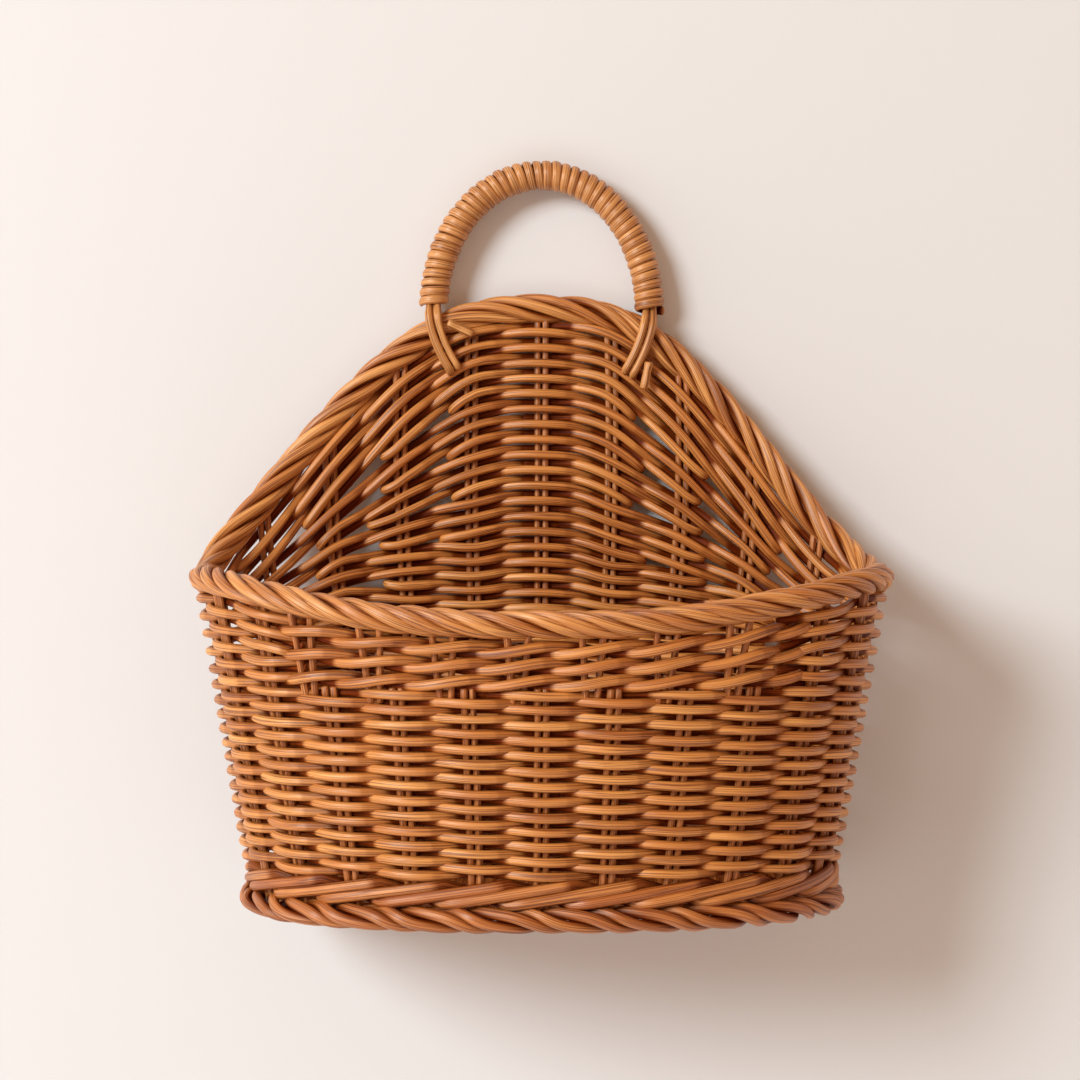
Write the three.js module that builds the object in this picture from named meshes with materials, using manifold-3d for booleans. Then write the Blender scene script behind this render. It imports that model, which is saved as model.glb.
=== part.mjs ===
import * as THREE from "three";
import Module from "manifold-3d";

// Driving dimensions, in millimetres unless the name says otherwise
const STAKE_PAIRS = 24;
const BASE_HALF_WIDTH = 126.7;
const WIDTH_FLARE = 0.168;
const BASE_DEPTH = 143;
const DEPTH_FLARE = 0.172;
const WIDEST_SHARE = 0.36;
const BACK_SQUARENESS = 3;
const FRONT_SQUARENESS = 2.3;
const SPACING_HEIGHT = 90;

const FRONT_HEIGHT = 138;
const SIDE_RISE = 18.6;
const SIDE_RISE_POWER = 1.5;
const ARCH_RISE = 127.5;
const ARCH_POWER_LEFT = 2.8;
const ARCH_POWER_RIGHT = 3.55;
const ARCH_BLUNTNESS = 1.31;
const ARCH_END_PAIR = 6.2;
const LEAN_START = 150;
const LEAN_SPAN = 135;
const LEAN_SHARE = 0.12;

const STAKE_WIDTH = 6.4;
const STAKE_THICKNESS = 3.2;
const ROW_THICKNESS = 3.4;
const SIDE_GAP = 0.35;
const STACK_GAP = 0.4;
const MARGIN = 0.7;

const FOOT_HEIGHT = 11.6;
const FOOT_PRESS = 0.6;
const FOOT_INNER = 5;
const WALE_TOP = 23.2;
const WALE_THICKNESS = 11.6;
const WALE_CROWN = 1.6;
const SIDING_TOP = 103.6;
const SIDING_BANDS = 5;
const BACK_BANDS = 8;
const ARCH_ROWS_HEIGHT = 18;
const ROW_DROOP = 7;
const ROW_THINNEST = 4;
const ROLL_GROOVE = 0.5;
const FRONT_SPAN_PAIR = 8.55;

const FRONT_BORDER_DEPTH = 15;
const FRONT_BORDER_HEIGHT = 12.5;
const ARCH_BORDER_DEPTH = 12;
const ARCH_BORDER_HEIGHT = 14;

const BASE_UNDERSIDE = 4;
const BASE_THICKNESS = 9;
const BASE_EDGE_GAP = 0.5;
const BASE_STICKS = 5;
const BASE_STICK_THICKNESS = 5;

const HANDLE_HALF_WIDTH = 51.4;
const HANDLE_RISE = 64.5;
const HANDLE_FOOT_ABOVE_EDGE = 3.54;
const LEFT_FOOT_BARE = 3.8;
const HANDLE_ROD = 3.2;
const HANDLE_LEG_ROD = 3.8;
const HANDLE_ROD_GAP = 0.3;
const LEG_END_X = 41.5;
const LEG_GAP = 0.6;
const LEG_SPREAD = 4.1;
const LEG_PASSAGE = 5.6;
const LEG_DIP = 1.2;
const BINDING_TURNS = 44;
const BINDING_RADIUS = 5.9;
const BINDING_WIDTH = 3;
const BINDING_THICKNESS = 2;
const TRIMMED_END_LENGTH = 12;
const TRIMMED_END_DIAMETER = 4.2;
const TRIMMED_END_ASIDE = 7;
const TRIMMED_SHARE_LEFT = 0.765;
const TRIMMED_SHARE_RIGHT = 0.135;

// Fineness of the curves
const SPACING_SAMPLES = 2880;
const BORDER_STEPS_PER_PAIR = 3;
const BORDER_SIDES = 10;
const STAKE_STEPS = 5;
const BINDING_STEPS = 8;
const BINDING_SIDES = 5;
const HANDLE_STEPS = 18;
const ROD_SIDES = 6;

const HALF_PAIRS = STAKE_PAIRS / 2;
// The middle of the back stands off the wall by half a border and one handle rod behind it
const wallGap = ARCH_BORDER_DEPTH / 2 + HANDLE_ROD_GAP + HANDLE_LEG_ROD;
const footOuter = wallGap + FOOT_PRESS;
const baseStickPitch = (BASE_DEPTH - wallGap) / (BASE_STICKS + 1);
const TURN = Math.PI * 2;

const wasm = await Module();
wasm.setup();
const { Manifold, Mesh } = wasm;

// The weave's middle surface: nearly flat at the wall, rounded in front, wider at the top
function planPoint(angle, z) {
  const halfWidth = BASE_HALF_WIDTH + WIDTH_FLARE * z;
  const depth = BASE_DEPTH + DEPTH_FLARE * z;
  const centre = wallGap + (depth - wallGap) * WIDEST_SHARE;
  const atBack = Math.cos(angle) > 0;
  const reach = atBack ? centre - wallGap : depth - centre;
  const power = atBack ? BACK_SQUARENESS : FRONT_SQUARENESS;
  const across = Math.abs(Math.sin(angle)) / halfWidth;
  const along = Math.abs(Math.cos(angle)) / reach;
  const radius = (across ** power + along ** power) ** (-1 / power);
  return new THREE.Vector2(radius * Math.sin(angle), radius * Math.cos(angle) - centre);
}

// Table of arc length round the plan, so that the stake pairs stand at equal distances
const planAngles = [0];
const planLengths = [0];
for (let k = 1; k <= SPACING_SAMPLES; k += 1) {
  const before = planPoint(planAngles[k - 1], SPACING_HEIGHT);
  const angle = (TURN * k) / SPACING_SAMPLES;
  planAngles.push(angle);
  planLengths.push(planLengths[k - 1] + planPoint(angle, SPACING_HEIGHT).distanceTo(before));
}

// Angle in plan of a place counted in stake pairs from the middle of the back
function angleAt(pair) {
  const whole = planLengths[SPACING_SAMPLES];
  const wrapped = (((pair % STAKE_PAIRS) + STAKE_PAIRS) % STAKE_PAIRS) / STAKE_PAIRS;
  const target = wrapped * whole;
  let low = 0;
  let high = SPACING_SAMPLES;
  while (high - low > 1) {
    const middle = Math.floor((low + high) / 2);
    if (planLengths[middle] <= target) {
      low = middle;
    } else {
      high = middle;
    }
  }
  const share = (target - planLengths[low]) / (planLengths[high] - planLengths[low]);
  return planAngles[low] + share * (planAngles[high] - planAngles[low]);
}

// Point on the middle surface at a place and height; the tall back leans a little inward
function surfacePoint(pair, z) {
  const flat = planPoint(angleAt(pair), z);
  const over = Math.max(0, z - LEAN_START) / LEAN_SPAN;
  const narrowing = 1 - LEAN_SHARE * over * over;
  return new THREE.Vector3(flat.x * narrowing, flat.y, z);
}

function outward(pair, z) {
  const step = 0.05;
  const along = surfacePoint(pair + step, z).sub(surfacePoint(pair - step, z)).setZ(0).normalize();
  return new THREE.Vector3(-along.y, along.x, 0);
}

function offsetPoint(pair, z, offset) {
  const point = surfacePoint(pair, z).addScaledVector(outward(pair, z), offset);
  point.y = Math.min(point.y, 0);
  return point;
}

function pairsFromBack(pair) {
  const wrapped = ((pair % STAKE_PAIRS) + STAKE_PAIRS) % STAKE_PAIRS;
  return Math.min(wrapped, STAKE_PAIRS - wrapped);
}

function isLeft(pair) {
  const wrapped = ((pair % STAKE_PAIRS) + STAKE_PAIRS) % STAKE_PAIRS;
  return wrapped > HALF_PAIRS;
}

// Height of the upper edge: low in front, a little higher at the sides, arched at the back.
// The arch is hand made, and its right side falls a little sooner than its left side.
function edgeHeight(pair) {
  const away = pairsFromBack(pair);
  const sideShare = Math.min(1, (HALF_PAIRS - away) / (HALF_PAIRS - ARCH_END_PAIR));
  const side = SIDE_RISE * (0.5 - 0.5 * Math.cos(Math.PI * sideShare)) ** SIDE_RISE_POWER;
  const archShare = Math.min(1, away / ARCH_END_PAIR) ** ARCH_BLUNTNESS;
  const power = isLeft(pair) ? ARCH_POWER_LEFT : ARCH_POWER_RIGHT;
  const arch = Math.max(0, Math.cos((Math.PI / 2) * archShare)) ** power;
  return FRONT_HEIGHT + side + ARCH_RISE * arch;
}

function borderPathPoint(pair) {
  return surfacePoint(pair, edgeHeight(pair) - ARCH_BORDER_HEIGHT / 2);
}

function borderSlope(pair) {
  const step = 0.1;
  const run = borderPathPoint(pair + step).sub(borderPathPoint(pair - step));
  return Math.abs(run.z) / Math.hypot(run.x, run.y);
}

// Underside of the border, measured straight down at one place
function borderUnderside(pair) {
  const slope = borderSlope(pair);
  const half = ARCH_BORDER_HEIGHT / 2;
  return edgeHeight(pair) - half - half * Math.hypot(1, slope) - MARGIN;
}

function archRowsLower(pair) {
  return borderUnderside(pair) - ARCH_ROWS_HEIGHT;
}

// Closed solid from stations of equal point count; a ring when it closes on itself
function loftArrays(stations, ring) {
  const count = stations[0].length;
  const positions = stations.flat().flatMap((p) => [p.x, p.y, p.z]);
  const indices = [];
  const spans = ring ? stations.length : stations.length - 1;
  for (let s = 0; s < spans; s += 1) {
    const here = s * count;
    const next = ((s + 1) % stations.length) * count;
    for (let k = 0; k < count; k += 1) {
      const after = (k + 1) % count;
      indices.push(here + k, next + k, next + after);
      indices.push(here + k, next + after, here + after);
    }
  }
  if (!ring) {
    const last = (stations.length - 1) * count;
    for (let k = 1; k < count - 1; k += 1) {
      indices.push(0, k, k + 1);
      indices.push(last, last + k + 1, last + k);
    }
  }
  return { positions, indices };
}

function signedVolume({ positions, indices }) {
  const corner = (k) => new THREE.Vector3().fromArray(positions, indices[k] * 3);
  let volume = 0;
  for (let k = 0; k < indices.length; k += 3) {
    volume += corner(k).dot(corner(k + 1).cross(corner(k + 2)));
  }
  return volume;
}

function facingOut(arrays) {
  if (signedVolume(arrays) >= 0) {
    return arrays;
  }
  const indices = [];
  for (let k = 0; k < arrays.indices.length; k += 3) {
    indices.push(arrays.indices[k], arrays.indices[k + 2], arrays.indices[k + 1]);
  }
  return { positions: arrays.positions, indices };
}

function toManifold(arrays) {
  const mesh = new Mesh({
    numProp: 3,
    vertProperties: new Float32Array(arrays.positions),
    triVerts: new Uint32Array(arrays.indices),
  });
  return new Manifold(mesh);
}

function fromManifold(solid) {
  const mesh = solid.getMesh();
  const positions = [];
  for (let v = 0; v < mesh.numVert; v += 1) {
    const start = v * mesh.numProp;
    positions.push(...mesh.vertProperties.slice(start, start + 3));
  }
  return { positions, indices: Array.from(mesh.triVerts) };
}

// The hoop's feet stand a little above the arched edge, measured at the left foot
function edgeHeightAtX(x) {
  const step = 0.01 * Math.sign(x);
  let pair = 0;
  while (Math.abs(borderPathPoint(pair).x) < Math.abs(x)) {
    pair += step;
  }
  return edgeHeight(pair);
}

const handleFootHeight = edgeHeightAtX(-HANDLE_HALF_WIDTH) + HANDLE_FOOT_ABOVE_EDGE;

// Local frame: wall at y = 0, foot at z = 0. The whole part is shifted to its hanging point.
const hangHeight = handleFootHeight + HANDLE_RISE - BINDING_RADIUS - BINDING_THICKNESS / 2;
const hangDepth = -wallGap;
const basket = new THREE.Group();
basket.name = "wall_basket";
const rodColour = 0xc98f55;
const bindingColour = 0xd09a62;

function addSolid(name, arrays, colour = rodColour) {
  const geometry = new THREE.BufferGeometry();
  const shifted = arrays.positions.map((value, k) => {
    const shift = [0, hangDepth, hangHeight][k % 3];
    return value - shift;
  });
  geometry.setAttribute("position", new THREE.Float32BufferAttribute(shifted, 3));
  geometry.setIndex(arrays.indices);
  geometry.computeVertexNormals();
  const mesh = new THREE.Mesh(geometry, new THREE.MeshStandardMaterial({ color: colour, roughness: 0.6 }));
  mesh.name = name;
  basket.add(mesh);
}

const twoDigits = (value) => String(value).padStart(2, "0");

// Stake pairs: two rods side by side, in one flattened section
const stakeSection = [
  [1, 0],
  [0.75, 1],
  [-0.75, 1],
  [-1, 0],
  [-0.75, -1],
  [0.75, -1],
];

function stakeStations(pair, bottom, top, spare, steps = STAKE_STEPS) {
  const stations = [];
  const halfWidth = STAKE_WIDTH / 2 + spare;
  const halfThickness = STAKE_THICKNESS / 2 + spare;
  for (let s = 0; s <= steps; s += 1) {
    const z = bottom + ((top - bottom) * s) / steps;
    const centre = surfacePoint(pair, z);
    const normal = outward(pair, z);
    const along = new THREE.Vector3(normal.y, -normal.x, 0);
    const station = stakeSection.map(([a, n]) =>
      centre
        .clone()
        .addScaledVector(along, a * halfWidth)
        .addScaledVector(normal, n * halfThickness),
    );
    stations.push(station);
  }
  return stations;
}

function stakeTop(pair) {
  return borderUnderside(pair) - (STAKE_WIDTH / 2) * borderSlope(pair) - STACK_GAP;
}

const stakeBottom = FOOT_HEIGHT + STACK_GAP;
for (let pair = 0; pair < STAKE_PAIRS; pair += 1) {
  const stations = stakeStations(pair, stakeBottom, stakeTop(pair), 0);
  addSolid(`stake_pair_${twoDigits(pair + 1)}`, facingOut(loftArrays(stations, false)));
}

// Woven bands: in front of one stake pair, behind the next one
const plateau = (STAKE_WIDTH / 2 + SIDE_GAP * 2) / (planLengths[SPACING_SAMPLES] / STAKE_PAIRS);
const sway = STAKE_THICKNESS / 2 + SIDE_GAP + ROW_THICKNESS / 2;

function swayAt(pair, phase) {
  const nearest = Math.round(pair);
  const sign = (((nearest + phase) % 2) + 2) % 2 === 0 ? 1 : -1;
  const away = Math.abs(pair - nearest);
  if (away <= plateau) {
    return sign * sway;
  }
  return sign * sway * Math.cos((Math.PI / 2) * ((away - plateau) / (0.5 - plateau)));
}

// Stations on both sides of each stake pair, and one halfway between two pairs where it is wanted
function bandPlaces(from, to, halfwayWanted) {
  const marks = [from, to];
  for (let pair = Math.floor(from); pair <= Math.ceil(to); pair += 1) {
    marks.push(pair - plateau, pair + plateau);
    if (halfwayWanted(pair + 0.5)) {
      marks.push(pair + 0.5);
    }
  }
  const least = 0.04;
  const inside = marks.filter((mark) => mark > from + least && mark < to - least);
  return [from, ...inside.sort((a, b) => a - b), to];
}

// A band is two rolls of rods, one above the other, with a groove between them on both faces.
// Each point is a share of the band's height and a share of half its thickness.
const bandSection = [
  [0, 0],
  [0.25, 1],
  [0.5, 1 - ROLL_GROOVE],
  [0.75, 1],
  [1, 0],
  [0.75, -1],
  [0.5, ROLL_GROOVE - 1],
  [0.25, -1],
];

function bandStation(pair, phase, lower, upper) {
  const middle = swayAt(pair, phase);
  return bandSection.map(([height, depth]) =>
    offsetPoint(pair, lower + (upper - lower) * height, middle + (depth * ROW_THICKNESS) / 2),
  );
}

const bandHeight = (SIDING_TOP - WALE_TOP) / SIDING_BANDS;
for (let band = 0; band < SIDING_BANDS; band += 1) {
  const lower = WALE_TOP + bandHeight * band + STACK_GAP;
  const upper = WALE_TOP + bandHeight * (band + 1);
  const places = bandPlaces(-0.5, STAKE_PAIRS - 0.5, () => false).slice(0, -1);
  const stations = places.map((pair) => bandStation(pair, band, lower, upper));
  addSolid(`siding_rows_${band + 1}`, facingOut(loftArrays(stations, true)));
}

// Back rows: level in the middle, drooping to the sides, shorter with height
const backTop = archRowsLower(0);
const backBandHeight = (backTop - SIDING_TOP) / BACK_BANDS;

function backLine(index, pair) {
  const share = index / BACK_BANDS;
  const away = pairsFromBack(pair) / ARCH_END_PAIR;
  return SIDING_TOP + backBandHeight * index - ROW_DROOP * share * away * away;
}

function bandEnd(index, side) {
  const step = 0.02;
  const roomAt = (away) => archRowsLower(side * away) - backLine(index, side * away);
  let away = 0;
  while (away + step <= FRONT_SPAN_PAIR && roomAt(away + step) > ROW_THINNEST) {
    away += step;
  }
  return side * away;
}

for (let band = 0; band < BACK_BANDS; band += 1) {
  const underRoof = (pair) => archRowsLower(pair) < backLine(band + 1, pair) + backBandHeight;
  const stations = bandPlaces(bandEnd(band, -1), bandEnd(band, 1), underRoof).map((pair) => {
    const roof = archRowsLower(pair);
    const lower = Math.min(backLine(band, pair), roof - STACK_GAP) + STACK_GAP;
    const upper = Math.min(backLine(band + 1, pair), roof - STACK_GAP);
    return bandStation(pair, band + SIDING_BANDS, lower, upper);
  });
  addSolid(`back_rows_${band + 1}`, facingOut(loftArrays(stations, false)));
}

// Arch rows: parallel to the arched edge, parted where the handle rods pass through
function placeAtX(x) {
  const step = 0.01 * Math.sign(x);
  let pair = 0;
  while (Math.abs(surfacePoint(pair, archRowsLower(pair)).x) < Math.abs(x)) {
    pair += step;
  }
  return pair;
}

function addArchRows(name, from, to) {
  const stations = bandPlaces(from, to, () => true).map((pair) => {
    const lower = archRowsLower(pair) + STACK_GAP;
    return bandStation(pair, BACK_BANDS + SIDING_BANDS, lower, borderUnderside(pair));
  });
  addSolid(name, facingOut(loftArrays(stations, false)));
}

const passageNear = LEG_END_X - LEG_PASSAGE;
const passageFar = LEG_END_X + LEG_PASSAGE;
addArchRows("arch_rows_left", -FRONT_SPAN_PAIR, placeAtX(-passageFar));
addArchRows("arch_rows_middle", placeAtX(-passageNear), placeAtX(passageNear));
addArchRows("arch_rows_right", placeAtX(passageFar), FRONT_SPAN_PAIR);

// Wales: heavier rows that hold the stakes on both sides, so the stakes pass through them
function addWale(name, places, lowerAt, upperAt, ring) {
  const stations = [];
  const half = WALE_THICKNESS / 2;
  for (const pair of places) {
    const lower = lowerAt(pair);
    const upper = upperAt(pair);
    const middle = (lower + upper) / 2;
    stations.push([
      offsetPoint(pair, lower, -half + WALE_CROWN),
      offsetPoint(pair, lower, half - WALE_CROWN),
      offsetPoint(pair, middle, half),
      offsetPoint(pair, upper, half - WALE_CROWN),
      offsetPoint(pair, upper, -half + WALE_CROWN),
      offsetPoint(pair, middle, -half),
    ]);
  }
  let solid = toManifold(facingOut(loftArrays(stations, ring)));
  for (let pair = 0; pair < STAKE_PAIRS; pair += 1) {
    const channel = stakeStations(pair, lowerAt(pair) - FOOT_HEIGHT, upperAt(pair) + FOOT_HEIGHT, SIDE_GAP, 1);
    solid = solid.subtract(toManifold(facingOut(loftArrays(channel, false))));
  }
  addSolid(name, fromManifold(solid));
}

function besideStakes(first, last) {
  const places = [];
  for (let pair = first; pair <= last; pair += 1) {
    places.push(pair - 0.3, pair + 0.3);
  }
  return places;
}

const ringPlaces = besideStakes(0, STAKE_PAIRS - 1);
addWale(
  "bottom_wale",
  ringPlaces,
  () => FOOT_HEIGHT + STACK_GAP,
  () => WALE_TOP,
  true,
);
const waleEnd = FRONT_SPAN_PAIR + 0.02;
const frontStakes = besideStakes(Math.ceil(waleEnd), Math.floor(STAKE_PAIRS - waleEnd));
addWale(
  "top_wale",
  [waleEnd, ...frontStakes, STAKE_PAIRS - waleEnd],
  () => SIDING_TOP + STACK_GAP,
  borderUnderside,
  false,
);

// Borders: one rounded section carried along a path
function sweepStations(pathAt, places, depth, height) {
  return places.map((pair) => {
    const step = 0.05;
    const centre = pathAt(pair);
    const along = pathAt(pair + step).sub(pathAt(pair - step)).normalize();
    const normal = outward(pair, centre.z);
    const up = along.clone().cross(normal).normalize();
    const station = [];
    for (let k = 0; k < BORDER_SIDES; k += 1) {
      const angle = (TURN * (k + 0.5)) / BORDER_SIDES;
      const point = centre
        .clone()
        .addScaledVector(normal, (Math.cos(angle) * depth) / 2)
        .addScaledVector(up, (Math.sin(angle) * height) / 2);
      point.y = Math.min(point.y, 0);
      station.push(point);
    }
    return station;
  });
}

function evenPlaces(from, to, perPair) {
  const steps = Math.round((to - from) * perPair);
  return Array.from({ length: steps + 1 }, (_, k) => from + ((to - from) * k) / steps);
}

const borderJoint = 0.01;
const archPlaces = evenPlaces(-ARCH_END_PAIR + borderJoint, ARCH_END_PAIR - borderJoint, BORDER_STEPS_PER_PAIR);
const archStations = sweepStations(borderPathPoint, archPlaces, ARCH_BORDER_DEPTH, ARCH_BORDER_HEIGHT);
addSolid("arch_border", facingOut(loftArrays(archStations, false)));

function frontPathPoint(pair) {
  return surfacePoint(pair, edgeHeight(pair) - FRONT_BORDER_HEIGHT / 2);
}

const frontStart = ARCH_END_PAIR + borderJoint;
const frontPlaces = evenPlaces(frontStart, STAKE_PAIRS - frontStart, BORDER_STEPS_PER_PAIR);
const frontStations = sweepStations(frontPathPoint, frontPlaces, FRONT_BORDER_DEPTH, FRONT_BORDER_HEIGHT);
addSolid("front_border", facingOut(loftArrays(frontStations, false)));

// Foot border: rolled ring with a flat underside; its back is pressed flat at the wall
function footStation(pair) {
  const roundness = 0.3;
  const rows = [
    [-FOOT_INNER, FOOT_HEIGHT * roundness],
    [-FOOT_INNER * (1 - roundness), 0],
    [footOuter * (1 - roundness), 0],
    [footOuter, FOOT_HEIGHT * roundness],
    [footOuter, FOOT_HEIGHT * (1 - roundness)],
    [footOuter * (1 - roundness), FOOT_HEIGHT],
    [-FOOT_INNER * (1 - roundness), FOOT_HEIGHT],
    [-FOOT_INNER, FOOT_HEIGHT * (1 - roundness)],
  ];
  return rows.map(([offset, z]) => offsetPoint(pair, z, offset));
}

addSolid("foot_border", facingOut(loftArrays(ringPlaces.map(footStation), true)));

// Base: a woven floor round five sticks that run from side to side
const baseMiddle = BASE_UNDERSIDE + BASE_THICKNESS / 2;
const baseInset = -(FOOT_INNER + BASE_EDGE_GAP);
const baseLower = ringPlaces.map((pair) => offsetPoint(pair, 0, baseInset).setZ(BASE_UNDERSIDE));
const baseUpper = baseLower.map((point) => point.clone().setZ(BASE_UNDERSIDE + BASE_THICKNESS));
let basePanel = toManifold(facingOut(loftArrays([baseLower, baseUpper], false)));
const baseCentreY = -(wallGap + BASE_DEPTH) / 2;

function stickSolid(index, spare, halfLength) {
  const sides = 8;
  const y = baseCentreY + (index - (BASE_STICKS - 1) / 2) * baseStickPitch;
  const radius = BASE_STICK_THICKNESS / 2 + spare;
  const ends = [-halfLength, halfLength].map((x) =>
    Array.from({ length: sides }, (_, k) => {
      const angle = (TURN * (k + 0.5)) / sides;
      return new THREE.Vector3(x, y + radius * Math.cos(angle), baseMiddle + radius * Math.sin(angle));
    }),
  );
  return toManifold(facingOut(loftArrays(ends, false)));
}

const stickLimit = toManifold(facingOut(loftArrays([baseLower, baseUpper], false)));
for (let index = 0; index < BASE_STICKS; index += 1) {
  const stick = stickSolid(index, 0, BASE_HALF_WIDTH).intersect(stickLimit);
  addSolid(`base_stick_${index + 1}`, fromManifold(stick));
  basePanel = basePanel.subtract(stickSolid(index, SIDE_GAP, BASE_HALF_WIDTH * 1.5));
}

// Handle: a half ellipse over the arch, then legs that go down in front of the border,
// through the passage between the arch rows, and up again behind the border
const handleDepth = -wallGap;
const hoopSpread = (HANDLE_ROD + HANDLE_ROD_GAP) / 2;
const legFront = -wallGap - ARCH_BORDER_DEPTH / 2 - LEG_GAP - HANDLE_LEG_ROD / 2;
const legBack = -HANDLE_LEG_ROD / 2;

function legTurnHeight(side) {
  return archRowsLower(placeAtX(side * LEG_END_X)) + HANDLE_LEG_ROD / 2 + MARGIN * 3;
}

function hoopPoint(angle) {
  return new THREE.Vector2(-HANDLE_HALF_WIDTH * Math.cos(angle), handleFootHeight + HANDLE_RISE * Math.sin(angle));
}

// Centre line in the plane of the wall, at a share of the way from the leg's turn up to the foot
function legPoint(side, share) {
  const turn = legTurnHeight(side);
  const drop = handleFootHeight - turn;
  const stray = HANDLE_HALF_WIDTH - LEG_END_X;
  return new THREE.Vector2(side * (LEG_END_X + stray * (1 - (1 - share) ** 1.8)), turn + drop * share);
}

function legLine(side) {
  return [0, 0.3, 0.6, 0.72, 0.81, 0.9].map((share) => legPoint(side, share));
}

// Finer steps near the two feet, where the rods leave the bundle
const hoopSteps = Array.from({ length: HANDLE_STEPS - 1 }, (_, k) => k + 1);
const footSteps = [0, 0.3, 0.65];
const hoopLine = [...footSteps, ...hoopSteps, ...footSteps.map((k) => HANDLE_STEPS - k).reverse()].map((k) =>
  hoopPoint((Math.PI * k) / HANDLE_STEPS),
);
const handleLine = [...legLine(-1), ...hoopLine, ...legLine(1).reverse()];

function lineNormal(k) {
  const before = handleLine[Math.max(0, k - 1)];
  const after = handleLine[Math.min(handleLine.length - 1, k + 1)];
  const run = after.clone().sub(before).normalize();
  return new THREE.Vector2(-run.y, run.x);
}

function legShare(point) {
  const start = handleFootHeight + (point.x < 0 ? LEFT_FOOT_BARE : 0);
  const share = Math.min(1, Math.max(0, (start - point.y) / (ARCH_BORDER_HEIGHT * 0.5)));
  return share * share * (3 - 2 * share);
}

// One rod: along the front of the bundle from foot to foot, then its two ends come back behind
function handleRodPath(side) {
  const front = [];
  const back = [];
  handleLine.forEach((point, k) => {
    const share = legShare(point);
    const spread = side * (hoopSpread + (LEG_SPREAD / 2 - hoopSpread) * share);
    const flat = point.clone().addScaledVector(lineNormal(k), spread);
    const radius = (HANDLE_ROD + (HANDLE_LEG_ROD - HANDLE_ROD) * share) / 2;
    const frontY = handleDepth - hoopSpread + (legFront - handleDepth + hoopSpread) * share;
    const backY = handleDepth + hoopSpread + (legBack - handleDepth - hoopSpread) * share;
    front.push({ centre: new THREE.Vector3(flat.x, frontY, flat.y), radius });
    back.push({ centre: new THREE.Vector3(flat.x, backY, flat.y), radius });
  });
  const turnAt = (end) =>
    [0.3, 0.5, 0.7].map((share) => {
      const centre = front[end].centre.clone().lerp(back[end].centre, share);
      centre.z -= LEG_DIP * Math.sin(Math.PI * share);
      return { centre, radius: HANDLE_LEG_ROD / 2 };
    });
  const top = Math.floor(handleLine.length / 2);
  const last = handleLine.length - 1;
  const backLeft = back.slice(0, top).reverse();
  const backRight = back.slice(top + 1).reverse();
  const leftTurn = turnAt(0).reverse();
  const rightTurn = turnAt(last);
  return [...backLeft, ...leftTurn, ...front, ...rightTurn, ...backRight];
}

function tubeStations(path, sides) {
  const stations = [];
  let normal = new THREE.Vector3(0, 1, 0);
  path.forEach(({ centre, radius }, k) => {
    const before = path[Math.max(0, k - 1)].centre;
    const after = path[Math.min(path.length - 1, k + 1)].centre;
    const along = after.clone().sub(before).normalize();
    normal = normal.clone().addScaledVector(along, -normal.dot(along)).normalize();
    const other = along.clone().cross(normal);
    const station = [];
    for (let j = 0; j < sides; j += 1) {
      const angle = (TURN * j) / sides;
      station.push(
        centre
          .clone()
          .addScaledVector(normal, radius * Math.cos(angle))
          .addScaledVector(other, radius * Math.sin(angle)),
      );
    }
    stations.push(station);
  });
  return stations;
}

addSolid("base_panel", fromManifold(basePanel));

const rodStations = [-1, 1].map((side) => {
  const path = handleRodPath(side);
  path.reverse();
  return tubeStations(path, ROD_SIDES);
});
addSolid("handle_rod_inner", facingOut(loftArrays(rodStations[0], false)));
addSolid("handle_rod_outer", facingOut(loftArrays(rodStations[1], false)));

// Binding: one cane wound round the handle rods from foot to foot
const hoopSamples = 720;
const hoopLengths = [0];
for (let k = 1; k <= hoopSamples; k += 1) {
  const before = hoopPoint((Math.PI * (k - 1)) / hoopSamples);
  hoopLengths.push(hoopLengths[k - 1] + hoopPoint((Math.PI * k) / hoopSamples).distanceTo(before));
}

function hoopAngleAtLength(length) {
  let k = 1;
  while (k < hoopSamples && hoopLengths[k] < length) {
    k += 1;
  }
  const share = (length - hoopLengths[k - 1]) / (hoopLengths[k] - hoopLengths[k - 1]);
  return (Math.PI * (k - 1 + share)) / hoopSamples;
}

function bindingStation(step) {
  const turnAngle = (TURN * step) / BINDING_STEPS;
  const steps = BINDING_TURNS * BINDING_STEPS;
  const length = LEFT_FOOT_BARE + ((hoopLengths[hoopSamples] - LEFT_FOOT_BARE) * step) / steps;
  const hoopAngle = hoopAngleAtLength(length);
  const at = hoopPoint(hoopAngle);
  const run = new THREE.Vector2(HANDLE_HALF_WIDTH * Math.sin(hoopAngle), HANDLE_RISE * Math.cos(hoopAngle));
  run.normalize();
  const along = new THREE.Vector3(run.x, 0, run.y);
  const across = new THREE.Vector3(-run.y, 0, run.x);
  const radial = across.multiplyScalar(Math.cos(turnAngle)).add(new THREE.Vector3(0, -Math.sin(turnAngle), 0));
  const centre = new THREE.Vector3(at.x, handleDepth, at.y).addScaledVector(radial, BINDING_RADIUS);
  return { centre, radial, along };
}

function bindingSection({ centre, radial, along }) {
  return Array.from({ length: BINDING_SIDES }, (_, k) => {
    const angle = (TURN * k) / BINDING_SIDES;
    return centre
      .clone()
      .addScaledVector(radial, (Math.cos(angle) * BINDING_THICKNESS) / 2)
      .addScaledVector(along, (Math.sin(angle) * BINDING_WIDTH) / 2);
  });
}

const bindingFrames = Array.from({ length: BINDING_TURNS * BINDING_STEPS + 1 }, (_, k) => bindingStation(k));

// The two ends run straight for one width of the cane
function straightEnd(end, inner) {
  const direction = end.centre.clone().sub(inner.centre).normalize();
  return { ...end, centre: end.centre.clone().addScaledVector(direction, BINDING_WIDTH) };
}

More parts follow.
